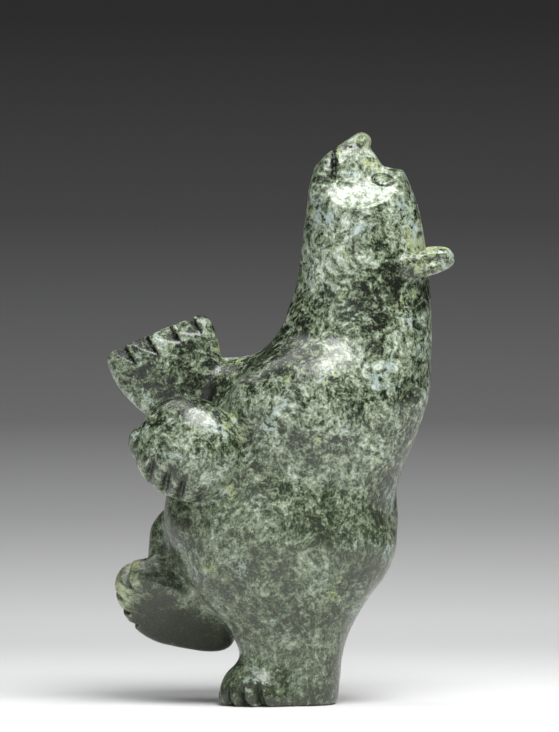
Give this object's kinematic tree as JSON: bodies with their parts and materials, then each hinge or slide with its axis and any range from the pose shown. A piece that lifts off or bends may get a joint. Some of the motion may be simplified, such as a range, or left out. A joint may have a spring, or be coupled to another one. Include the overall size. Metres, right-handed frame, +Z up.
{
  "type": "soapstone bear carving",
  "caption": "Dancing bear carved from one block of green serpentine soapstone: it stands on one foot with its head thrown back, one paw raised and one leg lifted.",
  "frame": {"origin": "on the flat sole of the standing foot, 8 mm from the middle of the sole towards the bear's right side", "axes": "+Z up along the standing bear; the bear faces -X and its left side is -Y, so +Y is the side of the raised paw and lifted leg"},
  "size_m": [0.1231, 0.0754, 0.2011],
  "materials": {
    "polished_serpentine": "polished mottled green serpentine with pale veins, dark grains and fine sanding marks"
  },
  "bodies": {
    "root": {"bear": "polished_serpentine"}
  },
  "joints": []
}
